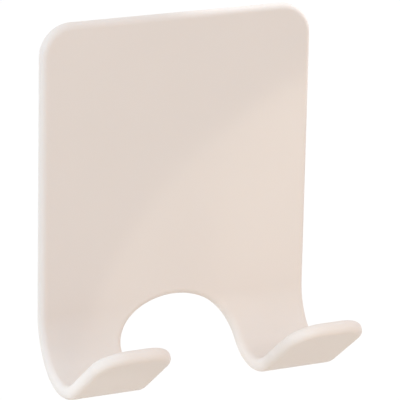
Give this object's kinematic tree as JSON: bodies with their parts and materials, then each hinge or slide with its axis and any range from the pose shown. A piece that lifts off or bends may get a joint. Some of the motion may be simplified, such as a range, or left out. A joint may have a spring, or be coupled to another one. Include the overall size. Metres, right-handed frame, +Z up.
{
  "type": "adhesive razor holder",
  "caption": "Stick-on razor holder: a flat back plate with rounded corners that curves into upturned hooks beside an arched notch, with a foam tape pad and its release liner behind.",
  "frame": {"origin": "middle of the tape pad's wall side, on the outer face of the release liner, level with the middle of the plate's flat part", "axes": "+Z up the plate, +Y square to the plate into the wall, +X to the right as seen from the front, so the hooks reach towards -Y"},
  "size_m": [0.052, 0.03, 0.0647],
  "materials": {
    "cream_plastic": "satin",
    "tape_adhesive": "gloss",
    "tape_foam": "matte",
    "liner_paper": "satin"
  },
  "bodies": {
    "holder": {"holder_body": "cream_plastic", "plate_adhesive": "tape_adhesive", "foam_core": "tape_foam", "wall_adhesive": "tape_adhesive"},
    "liner": {"release_liner": "liner_paper"}
  },
  "joints": [
    {"name": "liner_peel", "type": "slide", "parent": "holder", "child": "liner", "axis": [0, 1, 0], "range_m": [0, 0.03]}
  ]
}
